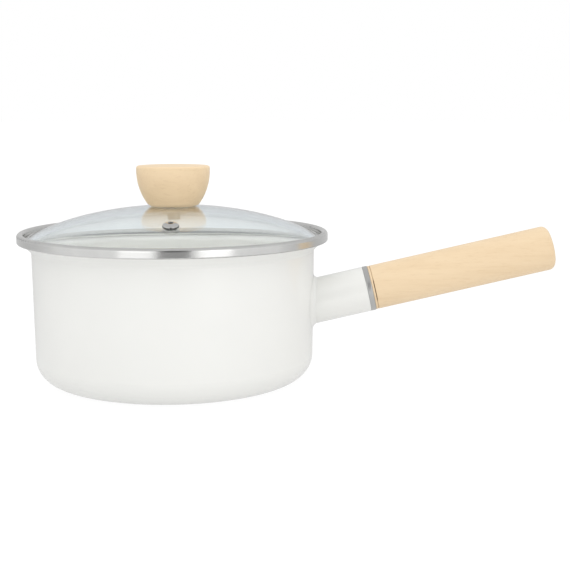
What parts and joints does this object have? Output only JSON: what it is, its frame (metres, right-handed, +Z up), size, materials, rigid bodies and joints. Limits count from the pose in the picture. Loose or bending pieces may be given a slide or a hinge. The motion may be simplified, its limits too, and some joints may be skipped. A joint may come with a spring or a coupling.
{
  "type": "saucepan with glass lid",
  "caption": "White enamelled saucepan with a straight wooden handle and a domed glass lid that lifts off; the lid has a steam vent and a turned wooden knob.",
  "frame": {"origin": "centre of the flat base, on the surface that the pan stands on", "axes": "+Z up along the pan's axis, +X along the handle away from the pan"},
  "size_m": [0.3462, 0.199, 0.1376],
  "materials": {
    "white_enamel": "glossy vitreous enamel",
    "stainless": "polished",
    "zinc_steel": "plated, satin",
    "clear_glass": "clear, polished",
    "pale_wood": "satin lacquer",
    "brass": "turned",
    "silicone": "matte"
  },
  "bodies": {
    "pan": {"pan_body": "white_enamel", "rim_band": "stainless", "handle_socket": "white_enamel", "socket_end_plate": "zinc_steel", "socket_nut": "zinc_steel", "handle_collar": "stainless", "handle_grip": "pale_wood", "handle_bolt": "zinc_steel", "bolt_washer": "zinc_steel"},
    "lid": {"lid_glass": "clear_glass", "lid_rim": "stainless", "vent_eyelet": "stainless", "vent_ring": "stainless", "knob": "pale_wood", "knob_insert": "brass", "knob_screw": "zinc_steel", "knob_washer": "zinc_steel", "knob_lock_washer": "zinc_steel", "knob_gasket_upper": "silicone", "knob_gasket_lower": "silicone"}
  },
  "joints": [
    {"name": "lid_lift", "type": "slide", "parent": "pan", "child": "lid", "axis": [0, 0, 1], "range_m": [0, 0.15]}
  ]
}
